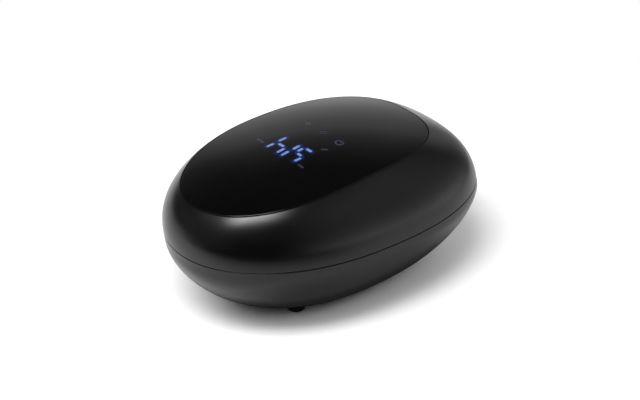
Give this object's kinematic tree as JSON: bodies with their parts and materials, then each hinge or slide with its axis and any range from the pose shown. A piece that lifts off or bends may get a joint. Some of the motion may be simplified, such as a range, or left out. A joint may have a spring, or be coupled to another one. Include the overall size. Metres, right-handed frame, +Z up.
{
  "type": "hot stone heater",
  "caption": "Egg-shaped table-top heater for massage stones: a hinged lid with a gloss touch panel and clock display shuts over a heated oval tray in a casing on rubber feet.",
  "frame": {"origin": "bottom centre of the overall box, on the surface that the feet stand on", "axes": "+X along the length towards the hinge (the display end is -X), +Y across, +Z up"},
  "size_m": [0.2038, 0.1352, 0.0934],
  "materials": {
    "shell_black": "satin, fine moulded grain",
    "panel_black": "high gloss, smoked",
    "rubber_black": "matt",
    "silicone_grey": "matt",
    "coated_aluminium": "dark non-stick coating",
    "aluminium": "satin",
    "steel": "bright zinc",
    "insulation_felt": "mineral felt",
    "inner_plastic": "satin",
    "board_green": "solder mask",
    "component_black": "moulded",
    "display_grey": "moulded, light from behind the panel",
    "heater_film": "film",
    "lead_red": "insulated wire",
    "lead_white": "insulated wire",
    "led_blue": "LED"
  },
  "bodies": {
    "base": {"base_shell": "shell_black", "rim_frame": "inner_plastic", "stone_tray": "coated_aluminium", "tray_seal": "silicone_grey", "heating_element": "heater_film", "clamp_plate": "aluminium", "insulation_pad": "insulation_felt", "heater_carrier": "inner_plastic", "temperature_sensor": "steel", "thermal_fuse": "lead_white", "power_board": "board_green", "power_module": "component_black", "lead_connector": "lead_white", "filter_capacitor": "aluminium", "dc_inlet": "component_black", "base_magnet_left": "steel", "base_magnet_right": "steel", "base_contact_block": "component_black", "heater_lead_left": "lead_red", "heater_lead_right": "lead_white", "contact_lead": "lead_white", "hinge_pin": "steel", "foot_front_left": "rubber_black", "base_screw_front_left": "steel", "tray_screw_front_left": "steel", "foot_front_right": "rubber_black", "base_screw_front_right": "steel", "tray_screw_front_right": "steel", "foot_rear_left": "rubber_black", "base_screw_rear_left": "steel", "tray_screw_rear_left": "steel", "foot_rear_right": "rubber_black", "base_screw_rear_right": "steel", "tray_screw_rear_right": "steel"},
    "lid": {"lid_shell": "shell_black", "top_panel": "panel_black", "panel_gasket": "rubber_black", "light_mask": "inner_plastic", "control_board": "board_green", "led_display": "display_grey", "indicator_led": "led_blue", "touch_pad_plus": "silicone_grey", "touch_pad_mode": "silicone_grey", "touch_pad_power": "silicone_grey", "control_chip": "component_black", "buzzer": "component_black", "lid_liner": "aluminium", "lid_insulation": "insulation_felt", "lid_magnet_left": "steel", "lid_magnet_right": "steel", "lid_contact_block": "component_black", "lid_lead": "lead_white", "liner_screw_front_left": "steel", "liner_screw_front_right": "steel", "liner_screw_rear_left": "steel", "liner_screw_rear_right": "steel"}
  },
  "joints": [
    {"name": "lid_hinge", "type": "hinge", "parent": "base", "child": "lid", "pos_m": [0.09909, 0, 0.052], "axis": [0, 1, 0], "range_deg": [0, 75]}
  ]
}
